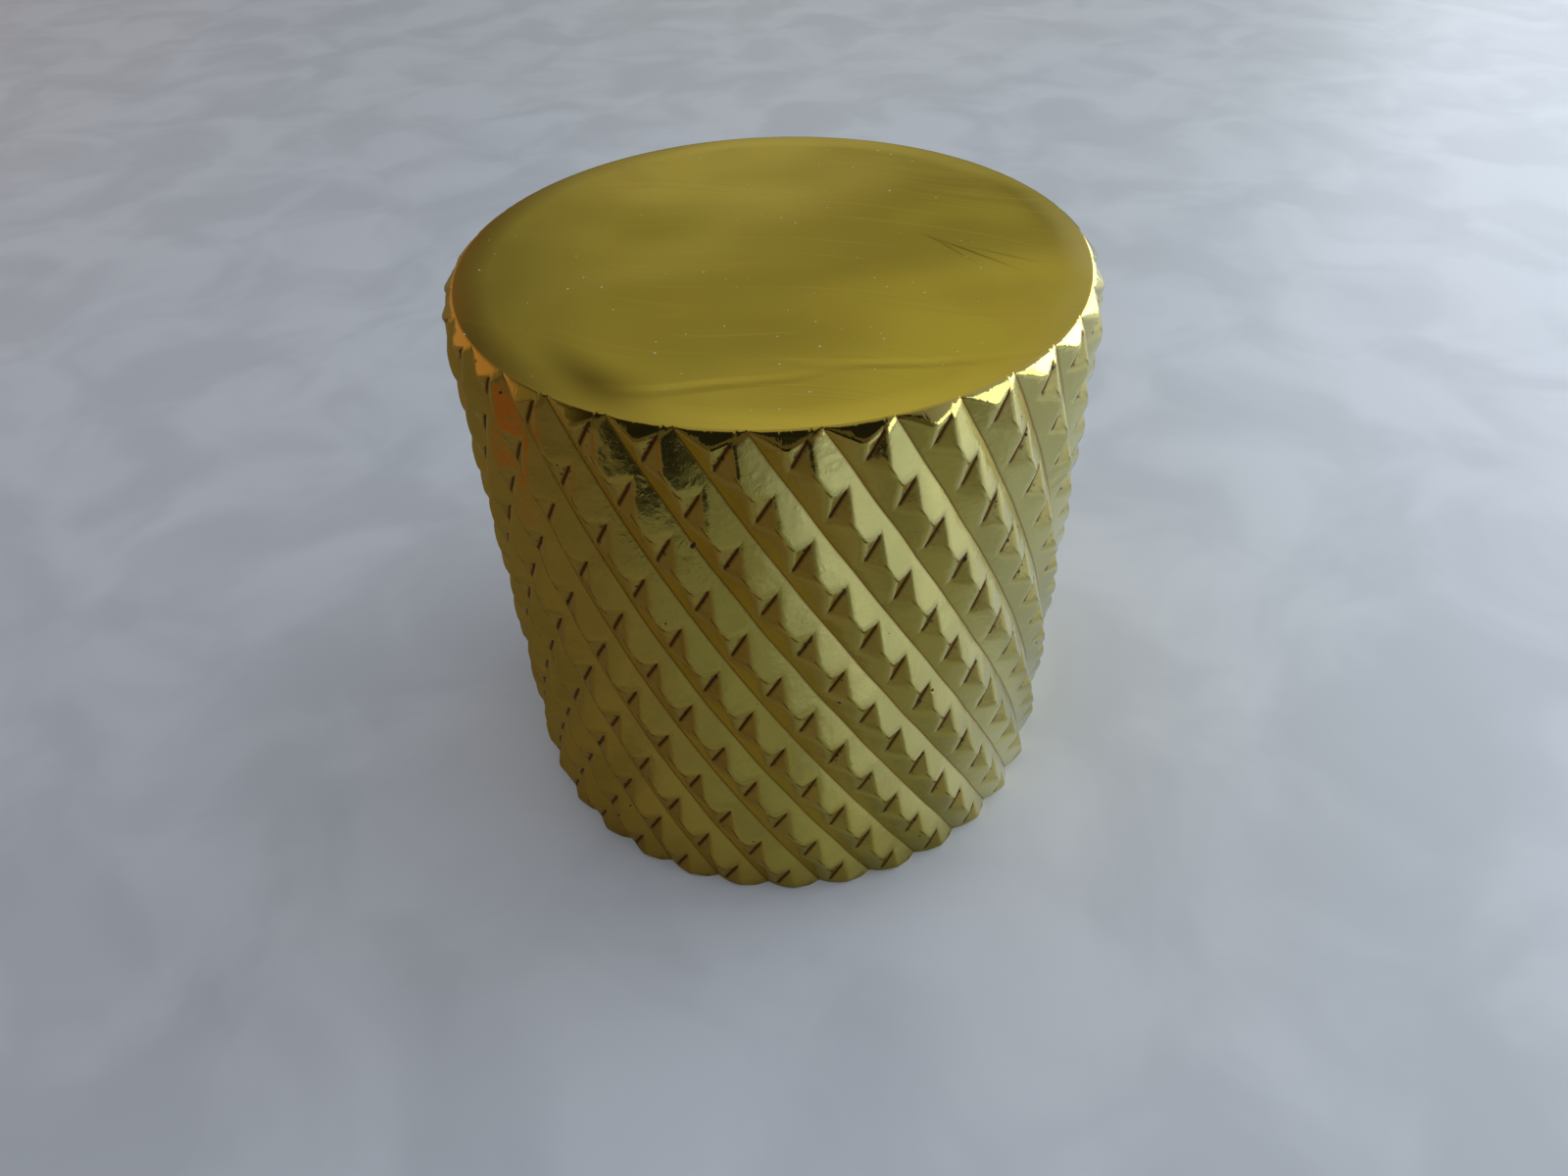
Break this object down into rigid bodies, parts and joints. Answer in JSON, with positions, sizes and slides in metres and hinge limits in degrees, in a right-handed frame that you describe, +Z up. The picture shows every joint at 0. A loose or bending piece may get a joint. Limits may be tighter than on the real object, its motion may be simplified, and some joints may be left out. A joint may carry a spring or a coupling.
{
  "type": "guitar knob",
  "caption": "Solid metal barrel knob with a polished flat top and a coarse diamond knurl, clamped on a round control shaft by a screw from the side.",
  "frame": {"origin": "on the barrel's axis, in the plane of the ring that the knob stands on", "axes": "+Z up along the barrel's axis towards the flat top, the set screw is at +Y"},
  "size_m": [0.0188, 0.0188, 0.018],
  "materials": {
    "gold_plated_brass": "bright gold plating on turned and knurled brass, the flat top buffed",
    "screw_steel": "plain hardened steel, slightly dull"
  },
  "bodies": {
    "root": {"knob_body": "gold_plated_brass", "set_screw": "screw_steel"}
  },
  "joints": []
}
